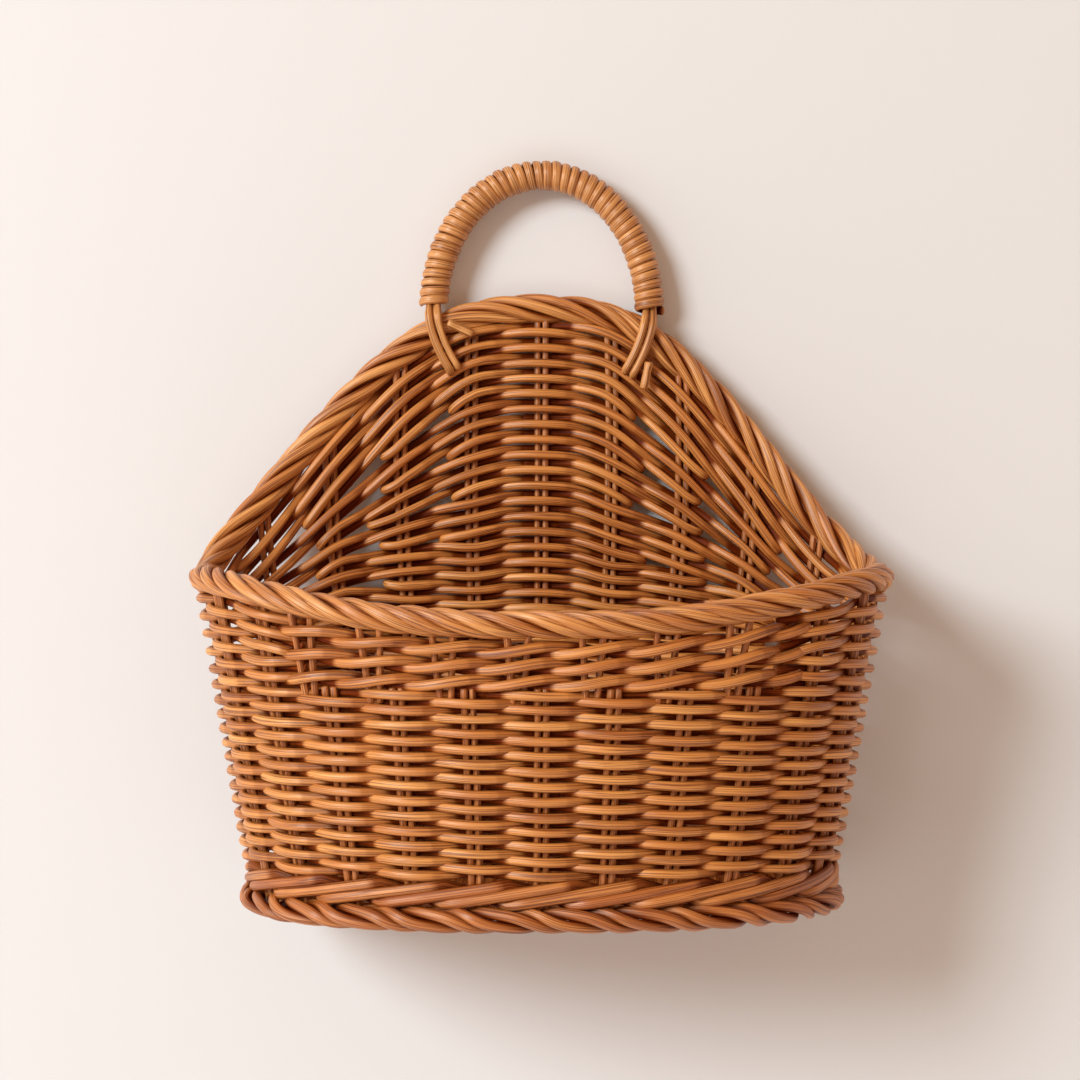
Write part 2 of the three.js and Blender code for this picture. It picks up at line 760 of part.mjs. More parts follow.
const lastFrame = bindingFrames.length - 1;
const allFrames = [
  straightEnd(bindingFrames[0], bindingFrames[1]),
  ...bindingFrames,
  straightEnd(bindingFrames[lastFrame], bindingFrames[lastFrame - 1]),
];
const bindingStations = allFrames.map(bindingSection);
addSolid("handle_binding", facingOut(loftArrays(bindingStations, false)), bindingColour);

// Least gap between one turn of the binding and the next one
function leastBindingGap() {
  let least = Infinity;
  const near = Math.round(BINDING_STEPS * 0.6);
  const far = Math.round(BINDING_STEPS * 1.4);
  for (let k = 0; k < bindingStations.length; k += 1) {
    for (let j = k + near; j <= k + far && j < bindingStations.length; j += 1) {
      for (const p of bindingStations[k]) {
        for (const q of bindingStations[j]) {
          least = Math.min(least, p.distanceTo(q));
        }
      }
    }
  }
  return least;
}

console.log(`least gap between turns of the binding: ${leastBindingGap().toFixed(2)} mm`);

// Trimmed rod ends beside the feet of the handle
function addTrimmedEnd(name, from, to) {
  const radius = TRIMMED_END_DIAMETER / 2;
  const path = [from, from.clone().lerp(to, 0.5), to].map((centre) => ({ centre, radius }));
  addSolid(name, facingOut(loftArrays(tubeStations(path, ROD_SIDES), false)));
}

// Each lies beside its leg, at a share of the leg's height
const trimmedY = -wallGap - ARCH_BORDER_DEPTH / 2 - TRIMMED_END_DIAMETER / 2 - HANDLE_ROD_GAP;

function trimmedEndStart(side, share) {
  const leg = legPoint(side, share);
  return new THREE.Vector3(leg.x + TRIMMED_END_ASIDE, trimmedY, leg.y);
}

const leftEndStart = trimmedEndStart(-1, TRIMMED_SHARE_LEFT);
const leftEndRun = new THREE.Vector3(0.9, 0, -0.43).multiplyScalar(TRIMMED_END_LENGTH);
addTrimmedEnd("trimmed_end_left", leftEndStart, leftEndStart.clone().add(leftEndRun));
const rightEndStart = trimmedEndStart(1, TRIMMED_SHARE_RIGHT);
const rightEndRun = new THREE.Vector3(-0.2, 0, -0.98).multiplyScalar(TRIMMED_END_LENGTH);
addTrimmedEnd("trimmed_end_right", rightEndStart, rightEndStart.clone().add(rightEndRun));

export default basket;
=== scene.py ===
"""Looks of a woven wall basket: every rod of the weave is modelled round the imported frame."""

import math

import bpy
import numpy as np
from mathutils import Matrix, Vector


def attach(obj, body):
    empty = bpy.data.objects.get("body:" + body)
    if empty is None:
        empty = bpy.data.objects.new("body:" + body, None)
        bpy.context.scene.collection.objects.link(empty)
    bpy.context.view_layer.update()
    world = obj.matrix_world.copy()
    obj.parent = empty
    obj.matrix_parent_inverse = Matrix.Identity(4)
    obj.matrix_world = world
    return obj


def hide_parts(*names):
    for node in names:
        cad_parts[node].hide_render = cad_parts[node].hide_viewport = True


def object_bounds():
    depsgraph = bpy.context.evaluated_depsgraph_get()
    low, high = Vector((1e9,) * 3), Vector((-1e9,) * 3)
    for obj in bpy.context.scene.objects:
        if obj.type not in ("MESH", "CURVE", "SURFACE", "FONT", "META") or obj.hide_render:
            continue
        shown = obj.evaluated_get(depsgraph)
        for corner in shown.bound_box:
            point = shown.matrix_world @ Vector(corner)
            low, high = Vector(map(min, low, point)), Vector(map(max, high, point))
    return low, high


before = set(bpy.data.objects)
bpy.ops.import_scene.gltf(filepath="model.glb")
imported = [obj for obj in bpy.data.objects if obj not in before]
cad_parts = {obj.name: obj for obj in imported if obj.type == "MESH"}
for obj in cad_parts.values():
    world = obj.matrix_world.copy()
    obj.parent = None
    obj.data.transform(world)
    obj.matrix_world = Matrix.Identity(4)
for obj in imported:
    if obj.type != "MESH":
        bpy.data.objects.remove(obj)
cad_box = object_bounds()

# Sizes are in millimetres, in the basket's own frame: wall at y = 0, foot at z = 0, x to the right.
# A place round the basket is counted in stake pairs, from the middle of the back.

# Plan of the weave: its size at the foot, how much it widens with each millimetre of height, and its form
STAKE_PAIRS = 24
BASE_HALF_WIDTH = 126.7
WIDTH_FLARE = 0.168
BASE_DEPTH = 143
DEPTH_FLARE = 0.172
WIDEST_SHARE = 0.36
BACK_SQUARENESS = 3
FRONT_SQUARENESS = 2.3
SPACING_HEIGHT = 90
PLAN_STEPS = 2880
WALL_GAP = 10.1

# Upper edge, and the lean of the high back
FRONT_HEIGHT = 138
SIDE_RISE = 18.6
SIDE_RISE_POWER = 1.5
ARCH_RISE = 127.5
ARCH_POWER_LEFT = 2.8
ARCH_POWER_RIGHT = 3.55
ARCH_BLUNTNESS = 1.31
ARCH_END_PAIR = 6.2
LEAN_START = 150
LEAN_SPAN = 135
LEAN_SHARE = 0.12

# Heights of the courses, from the foot up, and the place at which the courses of the front end
FOOT_HEIGHT = 11.6
FOOT_INNER = 5
FOOT_OUTER = 10.7
WALE_TOP = 23.2
SIDING_TOP = 103.6
FRONT_SPAN_PAIR = 8.55

# Stakes
STAKE_ROD = 3.2
STAKE_SPACING = 3.8
STAKE_IN_FOOT = 4
STAKE_IN_BORDER = 6
STAKE_OVER_SIDING = 1
STAKE_BEND = 0.12
STAKE_SINK = 0.1
STAKE_STRIDE = 8
STAKE_STEPS = 40
FRONT_STAKE_STEPS = 30
BORDER_STAKE_SHIFT = 0.32
BORDER_STAKE_SPREAD = (4.4, 9.4)
BORDER_STAKE_OVERLAP = 5
BORDER_STAKE_STEPS = 16

# Single woven rows. A stride is the steps from one random value to the next. Overlaps and the span of a
# tuck are in stake pairs
ROW_ROD = 4.15
ROW_SWAY = 3.5
ROW_FLATTENING = 0.03
ROW_SLANT = -0.2
ROW_RISE = 0.35
ROW_DIP = 0.3
ROW_DRIFT = 0.22
ROW_STRIDE = 20
SIDING_BANDS = 5
ROWS_PER_BAND = 5
SIDING_ROWS = SIDING_BANDS * ROWS_PER_BAND
RING_ROD_PAIRS = (8, 10, 6)
START_OVERLAP = 0.25
END_OVERLAP = 0.3
TUCK_SPAN = 0.5
END_TUCK = 2.8
ROD_TUCK = 3

# Wale over the foot, and pairing under the front border
WALE_ROD = 5
WALE_RISE = 4.4
WALE_TILT = 0.8
WALE_REACH = 5.7
WALE_IN_FOOT = 1.5
WALE_INSIDE = 0.05
WALE_CROSSING = 0.7
WALE_DRIFT = 0.15
WALE_STRIDE = 40
PAIRING_ROD = 4.6
PAIRING_ROWS = 3
PAIRING_LIFT = 1.75
PAIRING_IN_BORDER = 1

# Rows of the back: some go on round the sides, then couples that turn back, then some along the arch
SIDE_ROWS = 4
ARCH_ROWS = 4
COUPLES = 19
BACK_BANDS = 8
BACK_ROW_OVERLAP = 0.1
BACK_TUCK_SPAN = 0.6
BACK_SIDING_ROWS = SIDE_ROWS + 2 * COUPLES
BACK_ROWS = BACK_SIDING_ROWS + ARCH_ROWS
SIDE_STAKES = 9
BORDER_OVERLAP = 1.4
TURNED_ROOM = 0.42
STEEPEST = 1.2
SHARE_ROUNDS = 20
TURN_REACH = (0.22, 0.5)
TURN_STEPS = 12
# On the left (-1) and right (1) of the middle: which couples turn back at each stake pair, counted from
# the top among those that still go on there
TURN_BACKS = {
    -1: {1: (2, 5, 8, 11), 2: (1, 3, 5, 7, 10), 3: (0, 2, 4, 6, 8), 4: (0, 2, 4), 5: (0,), 8: (0,)},
    1: {1: (2, 5, 8, 12), 2: (1, 3, 5, 7, 9, 12), 3: (0, 2, 4, 6, 8), 4: (0, 2), 5: (0,), 8: (0,)},
}

# Borders: the room they take, and the rods laid round a core in it
BORDER_GAP = 0.7
BORDER_RODS = 5
BORDER_LOOSENESS = 0.14
FOOT_LOOSENESS = 0.06
LAY_STRIDE = 22
LAY_SLACK = 0.05
LAY_UNEVEN = 0.06
ARCH_BORDER_DEPTH = 12
ARCH_BORDER_HEIGHT = 14
ARCH_LAY_ROD = 5.1
ARCH_LAY_PITCH = 86
ARCH_CORE = 4.6
FRONT_BORDER_DEPTH = 15
FRONT_BORDER_HEIGHT = 12.5
FRONT_LAY_ROD = 5.2
FRONT_LAY_PITCH = 66
FRONT_CORE = 4.8
FOOT_LAY_ROD = 4.8
FOOT_LAY_PITCH = 62
FOOT_WARP = 0.2
FOOT_OVERLAP = 0.2

# Base
BASE_MIDDLE = 8.5
BASE_STICKS = 5
BASE_STICK = 5
BASE_EDGE = 5.5
BASE_WAVE = 3.4
BASE_ROD_GAP = 0.15

# Handle, its legs, which go down in front of the border and up behind it, and its binding
HANDLE_HALF_WIDTH = 51.4
HANDLE_RISE = 64.5
HANDLE_FOOT = 276.2
HANDLE_ROD = 3.2
HANDLE_ROD_GAP = 0.3
HOOP_STEPS = 60
FINE_HOOP_STEPS = 720
LEG_ROD = 3.8
LEG_END_X = 41.5
LEG_SPREAD = 4.1
LEG_CLEARANCE = 0.6
LEG_CURVE = 1.8
LEG_SPAN = 0.93
LEG_DIP = 1.2
LEG_DEPTH = 18
LEG_STEPS = 14
LEG_TURN_STEPS = 8
LEFT_FOOT_BARE = 3.8
BINDING_TURNS = 42
BINDING_STEPS = 16
BINDING_SLACK = 0.1
BINDING_RADIUS = 5.9
BINDING_WIDTH = 4.3
BINDING_THICKNESS = 2.6

# Two rod ends, trimmed beside the feet of the handle: place and run in front of the border
TRIMMED_ROD = 4.2
TRIMMED_LENGTH = 12
TRIMMED_GAP = 0.3
TRIMMED_TINT = 0.8
TRIMMED_ENDS = {
    "left": ((-43.7, 269.7), (0.9, -0.43)),
    "right": ((50.8, 250.6), (-0.2, -0.98)),
}

# Form of a rod: its sides, its steps in a stake pair, its bevelled ends and its uneven thickness
ROD_SIDES = 8
FINE_SIDES = 10
SMOOTH_SIDES = 12
STEPS = 14
BORDER_STEPS = 16
END_BEVEL = 0.25
END_SHARE = 0.72
END_GRAIN = 0.5
UNEVEN = 0.055
UNEVEN_STRIDE = 12
PATTERN_RANGE = 900

# How far from the middle surface a rod is wholly bare, free of painted shade, and for how many steps more
# its left tip is, as a painted highlight on the side towards the lamp
BARE_HEIGHT = 1.6
PAINTED_HIGHLIGHT_LAG = 2

TURN = 2 * math.pi
METRES = 0.001
HANG = np.array([0, -WALL_GAP, 333.8])
CAD_LOW, CAD_HIGH = (np.array(corner) / METRES + HANG for corner in cad_box)
CAD_MARGIN = 0.02


# Places on the weave
def plan_point(angle, z):
    """The weave's middle surface in plan: nearly flat at the wall, rounded in front."""
    half_width = BASE_HALF_WIDTH + WIDTH_FLARE * z
    depth = BASE_DEPTH + DEPTH_FLARE * z
    centre = WALL_GAP + (depth - WALL_GAP) * WIDEST_SHARE
    at_back = np.cos(angle) > 0
    reach = np.where(at_back, centre - WALL_GAP, depth - centre)
    power = np.where(at_back, BACK_SQUARENESS, FRONT_SQUARENESS)
    across = np.abs(np.sin(angle)) / half_width
    along = np.abs(np.cos(angle)) / reach
    radius = (across**power + along**power) ** (-1 / power)
    return radius * np.sin(angle), radius * np.cos(angle) - centre


def path_lengths(points):
    """The length along a path as far as each of its points."""
    return np.concatenate([[0], np.cumsum(np.linalg.norm(np.diff(points, axis=0), axis=1))])


PLAN_ANGLES = np.linspace(0, TURN, PLAN_STEPS + 1)
PLAN_LENGTHS = path_lengths(np.stack(plan_point(PLAN_ANGLES, SPACING_HEIGHT), axis=-1))
PAIR_SPACING = PLAN_LENGTHS[-1] / STAKE_PAIRS


def surface(pair, z):
    """Points on the weave's middle surface."""
    pair, z = np.broadcast_arrays(np.asarray(pair, float), np.asarray(z, float))
    turns = (pair % STAKE_PAIRS) / STAKE_PAIRS
    angle = np.interp(turns * PLAN_LENGTHS[-1], PLAN_LENGTHS, PLAN_ANGLES)
    x, y = plan_point(angle, z)
    over = np.maximum(0, z - LEAN_START) / LEAN_SPAN
    return np.stack([x * (1 - LEAN_SHARE * over**2), y, z], axis=-1)


def unit(vectors):
    return vectors / np.linalg.norm(vectors, axis=-1, keepdims=True)


def smooth(share):
    """A share from 0 to 1 that starts and ends softly."""
    return share * share * (3 - 2 * share)


def outward(pair, z):
    """The level direction that points out of the basket."""
    nudge = 0.05
    along = surface(np.asarray(pair) + nudge, z) - surface(np.asarray(pair) - nudge, z)
    return unit(np.stack([-along[..., 1], along[..., 0], np.zeros(along.shape[:-1])], axis=-1))


def place(pair, z, out):
    """Points that stand out from the middle surface by a distance, to the outside if it is positive."""
    return surface(pair, z) + outward(pair, z) * np.asarray(out, float)[..., None]


def edge_height(pair):
    """Height of the upper edge: low in front, a little higher at the sides, arched at the back."""
    wrapped = np.asarray(pair, float) % STAKE_PAIRS
    away = np.minimum(wrapped, STAKE_PAIRS - wrapped)
    half = STAKE_PAIRS / 2
    side_share = np.minimum(1, (half - away) / (half - ARCH_END_PAIR))
    side = SIDE_RISE * (0.5 - 0.5 * np.cos(np.pi * side_share)) ** SIDE_RISE_POWER
    arch_share = np.minimum(1, away / ARCH_END_PAIR) ** ARCH_BLUNTNESS
    power = np.where(wrapped > half, ARCH_POWER_LEFT, ARCH_POWER_RIGHT)
    return FRONT_HEIGHT + side + ARCH_RISE * np.maximum(0, np.cos(np.pi / 2 * arch_share)) ** power


def arch_path(pair):
    return surface(pair, edge_height(pair) - ARCH_BORDER_HEIGHT / 2)


def front_path(pair):
    return surface(pair, edge_height(pair) - FRONT_BORDER_HEIGHT / 2)


def foot_path(pair):
    return place(pair, FOOT_HEIGHT / 2, np.full(np.shape(pair), (FOOT_OUTER - FOOT_INNER) / 2))


def edge_slope(pair):
    nudge = 0.1
    run = arch_path(np.asarray(pair) + nudge) - arch_path(np.asarray(pair) - nudge)
    return np.abs(run[..., 2]) / np.hypot(run[..., 0], run[..., 1])


def border_underside(pair):
    half = ARCH_BORDER_HEIGHT / 2
    return edge_height(pair) - half - half * np.hypot(1, edge_slope(pair)) - BORDER_GAP


# Rods
def carried_frame(run):
    """A direction square to the run, carried along the path without twisting."""
    steep = abs(run[0][2]) >= 0.9
    current = np.array([0, 1.0, 0]) if steep else np.array([0, 0, 1.0])
    frames = np.empty_like(run)
    for k, along in enumerate(run):
        current = current - along * current.dot(along)
        current = current / np.linalg.norm(current)
        frames[k] = current
    return frames


def with_ends(values):
    """The values at a path's points, with the first and the last once more for the bevelled ends."""
    return np.vstack([values[:1], values, values[-1:]])


class Rods:
    """Rods gathered into one mesh. Each rod has its own tint and its own grain, which runs along it."""

    def __init__(self, seed):
        self.random = np.random.default_rng(seed)
        self.points = []
        self.faces = []
        self.grain = []
        self.tint = []
        self.painted_shade = []
        self.count = 0

    def wander(self, length, stride, size):
        """A smooth random drift along a rod, with one random value at each stride of steps."""
        knots = self.random.normal(0, size, max(4, int(length / stride) + 3))
        at = np.linspace(0, len(knots) - 1.001, length)
        low = at.astype(int)
        share = smooth(at - low)
        return knots[low] * (1 - share) + knots[low + 1] * share

    def add(
        self, path, diameter, across=None, flat=1.0, sides=ROD_SIDES, tint=None, uneven=UNEVEN, bare=None
    ):
        """One rod along a path in millimetres. across points along the section's wide direction, and bare
        towards the side that lies open. The sides that touch other rods get painted shade, the open side
        none."""
        path = np.asarray(path, float)
        run = unit(np.gradient(path, axis=0))
        if across is None:
            across = carried_frame(run)
        wide = unit(across - run * np.sum(run * across, -1, keepdims=True))
        thin = np.cross(run, wide)
        radius = np.broadcast_to(np.asarray(diameter, float) / 2, len(path)).copy()
        radius *= 1 + self.wander(len(path), UNEVEN_STRIDE, uneven)
        start = path[0] - run[0] * radius[0] * END_BEVEL
        end = path[-1] + run[-1] * radius[-1] * END_BEVEL
        centres = np.vstack([start, path, end])
        radius = np.concatenate([[radius[0] * END_SHARE], radius, [radius[-1] * END_SHARE]])
        lengths = path_lengths(path)
        lengths = np.concatenate([[lengths[0] - END_GRAIN], lengths, [lengths[-1] + END_GRAIN]])
        angle = TURN * np.arange(sides) / sides
        wide_part = with_ends(wide)[:, None, :] * np.cos(angle)[None, :, None]
        thin_part = with_ends(thin)[:, None, :] * np.sin(angle)[None, :, None]
        size = radius[:, None, None]
        points = centres[:, None, :] + wide_part * size + thin_part * size * flat
        self.points.append(points.reshape(-1, 3))
        self.add_grain(lengths, radius, angle)
        self.add_faces(len(centres), sides)
        # Painted shade: 0 where the rod faces away from its open side, 1 on the open side; a rod without an
        # open side, such as a border's core, gets the middle value all round
        bare = np.zeros_like(path) if bare is None else bare
        painted_shade = np.sum((wide_part + thin_part) * with_ends(bare)[:, None, :], axis=-1)
        self.painted_shade.append((0.5 + 0.5 * painted_shade).ravel())
        shade = self.random.uniform(0, 1) if tint is None else tint
        self.tint.append(np.full(len(points) * sides, shade))
        self.count += len(points) * sides

    def add_grain(self, lengths, radius, angle):
        """Places in a rod's own frame, along it and across it, each rod in another part of the pattern."""
        shift = self.random.uniform(0, PATTERN_RANGE, 3)
        grain = np.empty((len(lengths), len(angle), 3))
        grain[..., 0] = lengths[:, None] + shift[0]
        grain[..., 1] = radius[:, None] * np.cos(angle) + shift[1]
        grain[..., 2] = radius[:, None] * np.sin(angle) + shift[2]
        self.grain.append(grain.reshape(-1, 3))

    def add_faces(self, stations, sides):
        """Faces between the stations of a rod, and one at each end."""
        first = self.count + np.arange(stations - 1)[:, None] * sides
        here = np.arange(sides)[None, :]
        after = (here + 1) % sides
        quads = np.stack([first + here, first + after, first + sides + after, first + sides + here], axis=-1)
        self.faces += quads.reshape(-1, 4).tolist()
        last = self.count + (stations - 1) * sides
        self.faces.append([self.count + k for k in reversed(range(sides))])
        self.faces.append([last + k for k in range(sides)])

    def make(self, name, material, slot, *nodes):
        """Makes the mesh, in metres in the row frame, in place of the named nodes."""
        points = np.clip(np.vstack(self.points), CAD_LOW + CAD_MARGIN, CAD_HIGH - CAD_MARGIN)
        mesh = bpy.data.meshes.new(name)
        mesh.from_pydata(((points - HANG) * METRES).tolist(), [], self.faces)
        grain = mesh.attributes.new("grain", "FLOAT_VECTOR", "POINT")
        grain.data.foreach_set("vector", np.vstack(self.grain).ravel())
        tint = mesh.attributes.new("tint", "FLOAT", "POINT")
        tint.data.foreach_set("value", np.concatenate(self.tint))
        painted_shade = mesh.attributes.new("painted_shade", "FLOAT", "POINT")
        painted_shade.data.foreach_set("value", np.concatenate(self.painted_shade))
        mesh.shade_smooth()
        mesh.materials.append(material)
        piece = bpy.data.objects.new(name, mesh)
        bpy.context.scene.collection.objects.link(piece)
        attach(piece, "root")
        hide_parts(*nodes)


def places(start, end, per_pair=STEPS):
    """Places along a course, close enough together to draw its bends."""
    return np.linspace(start, end, max(4, int(abs(end - start) * per_pair) + 1))


def unshaded_side(pair, path):
    """Towards the outside where a rod runs outside the weave's middle surface, and inside where inside.
    The tip on the left, as seen from in front, lies on top of the rod before it; as a painted highlight it
    stays free of painted shade for longer."""
    normal = outward(pair, path[:, 2])
    out = np.sum((path - surface(pair, path[:, 2])) * normal, axis=-1)
    at = np.arange(len(out))
    steps = PAINTED_HIGHLIGHT_LAG * np.sign(np.gradient(pair)).astype(int)
    later = out[np.clip(at - steps, 0, len(out) - 1)]
    sooner = out[np.clip(at + steps, 0, len(out) - 1)]
    shown = np.maximum(later, 0) + np.minimum(sooner, 0)
    return normal * np.clip(shown / BARE_HEIGHT, -1, 1)[:, None]


def woven(pair, level, row):
    """Plain weave: outside at one stake pair, inside at the next, and the other way in the next row.
    A rod sags a little in front of the stakes, and rises towards the right as it goes in."""
    nearest = np.round(pair)
    sign = np.where((nearest + row) % 2 == 0, 1, -1)
    part = np.pi * (pair - nearest)
    flattened = (np.cos(part) - ROW_FLATTENING * np.cos(3 * part)) / (1 - ROW_FLATTENING)
    out = sign * (ROW_SWAY * flattened + ROW_SLANT * np.sin(part))
    return place(pair, level + sign * (ROW_RISE * np.sin(part) - ROW_DIP * np.cos(part) ** 2), out)


def tucked(path, pair, start, end, span):
    """A rod whose two ends lie behind the weave, on the inside of it, over a span of stake pairs."""
    first = np.clip(1 - np.abs(pair - start) / span, 0, 1)
    last = np.clip(1 - np.abs(pair - end) / span, 0, 1)
    return path - outward(pair, path[:, 2]) * (np.maximum(first, last) * ROD_TUCK)[:, None]


# Materials. The grain's first axis runs along a rod, so its patterns are stretched that way
WHITE = [1, 1, 1, 1]
RIB_SCALE = (0.012, 2.1, 2.1)
FIBRE_SCALE = (0.05, 5, 5)
PATCH_SCALE = (0.03, 0.25, 0.25)
# Painted shade in the creases where rods touch
CREASE_SHADE_COLOUR = [0.3, 0.13, 0.055, 1]
CREASE_SPAN = 0.46
RIB_STOPS = [(0.39, [0.22, 0.09, 0.03, 1]), (0.48, [0.74, 0.6, 0.44, 1]), (0.56, WHITE)]
RIB_SHARE = 0.85
PATCH_STOPS = [(0.3, [0.72, 0.55, 0.4, 1]), (0.56, WHITE)]
PATCH_SHARE = 0.7
VARNISH_TINT = (1, 0.94, 0.84, 1)
PLAIN_SHEEN = 0.7
# Specular level from the creases to the open side: painted dullness where rods touch and painted sheen where
# they lie open
PAINTED_SHEEN_RANGE = (0.1, 0.9)
PAINTED_SHEEN_SPAN = 0.4
SMOOTHER = 0.1
ROUGHER = 0.14
BUMP_HEIGHT = 0.0005


def linear(srgb):
    return [((c / 255 + 0.055) / 1.055) ** 2.4 if c > 10 else c / 255 / 12.92 for c in srgb] + [1]


class Shading:
    """A material and the nodes that make it."""

    def __init__(self, name):
        self.material = bpy.data.materials.new(name)
        self.material.use_nodes = True
        self.nodes = self.material.node_tree.nodes
        self.links = self.material.node_tree.links
        self.shader = self.nodes["Principled BSDF"]

    def attribute(self, name, output="Fac"):
        node = self.nodes.new("ShaderNodeAttribute")
        node.attribute_name = name
        return node.outputs[output]

    def noise(self, place, scale, detail, roughness=0.5):
        mapping = self.nodes.new("ShaderNodeMapping")
        mapping.inputs["Scale"].default_value = scale
        texture = self.nodes.new("ShaderNodeTexNoise")
        texture.inputs["Scale"].default_value = 1.0
        texture.inputs["Detail"].default_value = detail
        texture.inputs["Roughness"].default_value = roughness
        self.links.new(place, mapping.inputs["Vector"])
        self.links.new(mapping.outputs["Vector"], texture.inputs["Vector"])
        return texture.outputs["Fac"]

    def ramp(self, source, stops):
        node = self.nodes.new("ShaderNodeValToRGB")
        band = node.color_ramp
        while len(band.elements) < len(stops):
            band.elements.new(0.5)
        for element, (position, colour) in zip(band.elements, stops):
            element.position = position
            element.color = colour
        self.links.new(source, node.inputs["Fac"])
        return node.outputs["Color"]

    def multiply(self, share, first, second):
        node = self.nodes.new("ShaderNodeMix")
        node.data_type = "RGBA"
        node.blend_type = "MULTIPLY"
        node.inputs["Factor"].default_value = share
        self.links.new(first, node.inputs["A"])
        self.links.new(second, node.inputs["B"])
        return node.outputs["Result"]

    def map_range(self, source, target, low, high, start=0.0, end=1.0):
        node = self.nodes.new("ShaderNodeMapRange")
        node.inputs["From Min"].default_value = start
        node.inputs["From Max"].default_value = end
        node.inputs["To Min"].default_value = low
        node.inputs["To Max"].default_value = high
        self.links.new(source, node.inputs["Value"])
        self.links.new(node.outputs["Result"], target)

    def bump(self, source, strength):
        node = self.nodes.new("ShaderNodeBump")
        node.inputs["Strength"].default_value = strength
        node.inputs["Distance"].default_value = BUMP_HEIGHT
        self.links.new(source, node.inputs["Height"])
        self.links.new(node.outputs["Normal"], self.shader.inputs["Normal"])


def cane_material(name, tones, roughness=0.39, bump=0.65, crease_end=None):
    """Varnished cane: a tone for each rod, ribs along the grain, mottling and a soft gloss. Where rods
    touch it is painted dark and dull as shade, up to the end of the crease on a scale from hidden to bare."""
    cane = Shading(name)
    inputs = cane.shader.inputs
    grain = cane.attribute("grain", "Vector")
    ribs = cane.noise(grain, RIB_SCALE, 2, 0.6)
    fibres = cane.noise(grain, FIBRE_SCALE, 2)
    patches = cane.noise(grain, PATCH_SCALE, 3)
    tone_stops = [(k / (len(tones) - 1), linear(tone)) for k, tone in enumerate(tones)]
    colour = cane.ramp(cane.attribute("tint"), tone_stops)
    colour = cane.multiply(RIB_SHARE, colour, cane.ramp(ribs, RIB_STOPS))
    colour = cane.multiply(PATCH_SHARE, colour, cane.ramp(patches, PATCH_STOPS))
    if crease_end is None:
        inputs["Specular IOR Level"].default_value = PLAIN_SHEEN
    else:
        # Painted crease shade: darker and duller where rods touch, glossier on the open side
        painted_shade = cane.attribute("painted_shade")
        crease_stops = [(crease_end - CREASE_SPAN, CREASE_SHADE_COLOUR), (crease_end, WHITE)]
        colour = cane.multiply(1.0, colour, cane.ramp(painted_shade, crease_stops))
        cane.map_range(painted_shade, inputs["Specular IOR Level"], *PAINTED_SHEEN_RANGE, crease_end - PAINTED_SHEEN_SPAN, crease_end)
    cane.links.new(colour, inputs["Base Color"])
    inputs["Specular Tint"].default_value = VARNISH_TINT
    cane.map_range(fibres, inputs["Roughness"], roughness - SMOOTHER, roughness + ROUGHER)
    cane.bump(ribs, bump)
    return cane.material


ROW_TONES = [(212, 134, 62), (225, 151, 76), (238, 168, 91)]
# Darker than the rows as painted shade: the light falls off towards the bottom of the basket
SHADED_FOOT_TONES = [(192, 113, 50), (204, 127, 61), (216, 142, 73)]
BORDER_TONES = [(214, 139, 68), (226, 155, 83), (238, 171, 98)]
# Darker than the rows as painted shade for the stakes' place between the rows
SHADED_STAKE_TONES = [(188, 112, 52), (206, 131, 68)]
HANDLE_TONES = [(212, 146, 80), (228, 166, 100)]
BINDING_TONES = [(222, 158, 94), (234, 176, 112)]
# Where the painted crease shade ends, on the scale from hidden to open
ROW_CREASE = 0.66
BORDER_CREASE = 0.86
BINDING_CREASE = 0.74

row_cane = cane_material("row_cane", ROW_TONES, crease_end=ROW_CREASE)
stake_cane = cane_material("stake_cane", SHADED_STAKE_TONES)
wale_cane = cane_material("wale_cane", ROW_TONES, crease_end=ROW_CREASE)
# The foot border and the bottom wale: darker tones and a wider painted crease shade, for the shade at the
# bottom
shaded_foot_cane = cane_material("shaded_foot_cane", SHADED_FOOT_TONES, crease_end=BORDER_CREASE)
border_cane = cane_material("border_cane", BORDER_TONES, crease_end=BORDER_CREASE)
base_cane = cane_material("base_cane", ROW_TONES)
handle_cane = cane_material("handle_cane", HANDLE_TONES)
binding_cane = cane_material("binding_cane", BINDING_TONES, 0.4, 0.5, BINDING_CREASE)


# Stakes
def upright(rods, pair, z, shift):
    """A stake rod at a distance along the weave from its place, with small bends of its own."""
    normal = outward(pair, z)
    along = np.stack([normal[:, 1], -normal[:, 0], np.zeros(len(z))], axis=-1)
    shift = shift + rods.wander(len(z), STAKE_STRIDE, STAKE_BEND)
    sink = rods.wander(len(z), STAKE_STRIDE, STAKE_SINK)
    rods.add(surface(pair, z) + along * shift[:, None] + normal * sink[:, None], STAKE_ROD, sides=FINE_SIDES)


def add_stakes():
    """Two rods at each stake pair. In front, other rods go on from the siding up into the border."""
    bottom = FOOT_HEIGHT - STAKE_IN_FOOT
    for pair in range(STAKE_PAIRS):
        rods = Rods(100 + pair)
        top = border_underside(pair) + STAKE_IN_BORDER
        in_front = min(pair, STAKE_PAIRS - pair) > FRONT_SPAN_PAIR
        for side in (-1, 1):
            if not in_front:
                z = np.linspace(bottom, top, STAKE_STEPS)
                upright(rods, pair, z, side * STAKE_SPACING / 2)
                continue
            z = np.linspace(bottom, SIDING_TOP + STAKE_OVER_SIDING, FRONT_STAKE_STEPS)
            upright(rods, pair, z, side * STAKE_SPACING / 2)
            z = np.linspace(SIDING_TOP - BORDER_STAKE_OVERLAP, top, BORDER_STAKE_STEPS)
            spread = np.linspace(*BORDER_STAKE_SPREAD, len(z))
            upright(rods, pair + BORDER_STAKE_SHIFT, z, side * spread / 2)
        rods.make(f"stake_rods_{pair + 1:02d}", stake_cane, "stake_rods", f"stake_pair_{pair + 1:02d}")


